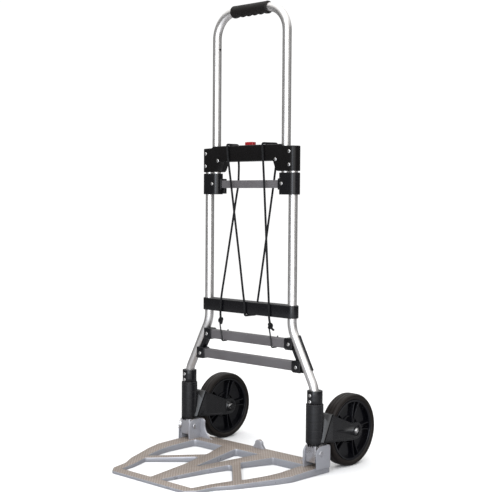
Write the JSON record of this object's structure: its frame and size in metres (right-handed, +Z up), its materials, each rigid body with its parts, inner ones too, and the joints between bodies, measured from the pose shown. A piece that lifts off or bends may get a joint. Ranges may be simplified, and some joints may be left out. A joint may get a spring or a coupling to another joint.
{
  "type": "hand truck",
  "caption": "Folding two-wheeled hand truck with a telescoping loop handle, cast lattice toe plate that folds up and wheels that swing in with it.",
  "frame": {"origin": "on the floor, midway between the two wheel sleeves, on the underside of the toe plate's rear bar", "axes": "+Z up along the handle, +X to the truck's right seen from the front, -Y towards the toe plate's front edge"},
  "size_m": [0.56, 0.626, 1.283],
  "materials": {
    "aluminium_tube": "satin",
    "black_plastic": "satin",
    "grey_bar": "matt",
    "cast_plate": "cast, satin",
    "bright_steel": "bright",
    "knuckle_metal": "bright",
    "spring_steel": "bright",
    "red_button": "gloss",
    "grip_rubber": "matt",
    "wheel_plastic": "semi-gloss",
    "tyre_rubber": "matt",
    "cord_black": "woven"
  },
  "bodies": {
    "frame": {"frame_tube_left": "aluminium_tube", "frame_tube_right": "aluminium_tube", "crosshead_front": "black_plastic", "crosshead_rear": "black_plastic", "crosshead_rivets": "bright_steel", "button_spring": "spring_steel", "lower_crossbar": "black_plastic", "gusset_left": "black_plastic", "gusset_right": "black_plastic", "brace_bar_upper": "grey_bar", "brace_bar_lower": "grey_bar", "brace_rivets": "bright_steel", "sleeve_collar_left": "black_plastic", "sleeve_collar_right": "black_plastic", "collar_rivets": "bright_steel", "knuckle_left": "knuckle_metal", "knuckle_right": "knuckle_metal", "bungee_cord": "cord_black", "bungee_knots": "cord_black", "bungee_hook_left": "bright_steel", "bungee_hook_right": "bright_steel"},
    "handle": {"handle_tube": "aluminium_tube", "handle_grip": "grip_rubber", "slider_bracket_left": "black_plastic", "slider_bracket_right": "black_plastic", "slider_bar": "grey_bar", "slider_screws": "bright_steel"},
    "button": {"release_button": "red_button"},
    "pin_left": {"lock_pin_left": "bright_steel"},
    "pin_right": {"lock_pin_right": "bright_steel"},
    "plate": {"toe_plate": "cast_plate", "hinge_pin_left": "bright_steel", "hinge_pin_right": "bright_steel", "fold_gear_left": "bright_steel", "fold_gear_right": "bright_steel"},
    "fork_left": {"wheel_fork_left": "black_plastic", "axle_bolt_left": "bright_steel", "axle_nut_left": "bright_steel", "axle_spacers_left": "bright_steel", "swivel_gear_left": "black_plastic"},
    "fork_right": {"wheel_fork_right": "black_plastic", "axle_bolt_right": "bright_steel", "axle_nut_right": "bright_steel", "axle_spacers_right": "bright_steel", "swivel_gear_right": "black_plastic"},
    "wheel_left": {"wheel_rim_left": "wheel_plastic", "tyre_left": "tyre_rubber"},
    "wheel_right": {"wheel_rim_right": "wheel_plastic", "tyre_right": "tyre_rubber"}
  },
  "joints": [
    {"name": "handle_slide", "type": "slide", "parent": "frame", "child": "handle", "axis": [0, 0, 1], "range_m": [-0.3, 0], "deforming": ["bungee_cord"]},
    {"name": "release_button", "type": "slide", "parent": "frame", "child": "button", "axis": [0, 0, 1], "range_m": [-0.006, 0], "stiffness_N_per_m": 700, "springref_m": 0.004, "deforming": ["button_spring"]},
    {"name": "lock_pin_left", "type": "slide", "parent": "frame", "child": "pin_left", "axis": [1, 0, 0], "range_m": [0, 0.006]},
    {"name": "lock_pin_right", "type": "slide", "parent": "frame", "child": "pin_right", "axis": [1, 0, 0], "range_m": [-0.006, 0]},
    {"name": "plate_fold", "type": "hinge", "parent": "frame", "child": "plate", "pos_m": [0, 0, 0.0575], "axis": [-1, 0, 0], "range_deg": [0, 90]},
    {"name": "swivel_left", "type": "hinge", "parent": "frame", "child": "fork_left", "pos_m": [-0.245, 0, 0.135], "axis": [0, 0, 1], "range_deg": [-90, 0]},
    {"name": "swivel_right", "type": "hinge", "parent": "frame", "child": "fork_right", "pos_m": [0.245, 0, 0.135], "axis": [0, 0, 1], "range_deg": [0, 90]},
    {"name": "wheel_spin_left", "type": "hinge", "parent": "fork_left", "child": "wheel_left", "pos_m": [-0.245, 0.144, 0.1], "axis": [1, 0, 0], "continuous": true},
    {"name": "wheel_spin_right", "type": "hinge", "parent": "fork_right", "child": "wheel_right", "pos_m": [0.245, 0.144, 0.1], "axis": [1, 0, 0], "continuous": true}
  ],
  "couplings": [
    {"joint": "lock_pin_left", "follows": "release_button", "ratio": -1},
    {"joint": "lock_pin_right", "follows": "release_button", "ratio": 1},
    {"joint": "swivel_left", "follows": "plate_fold", "ratio": -1},
    {"joint": "swivel_right", "follows": "plate_fold", "ratio": 1}
  ]
}
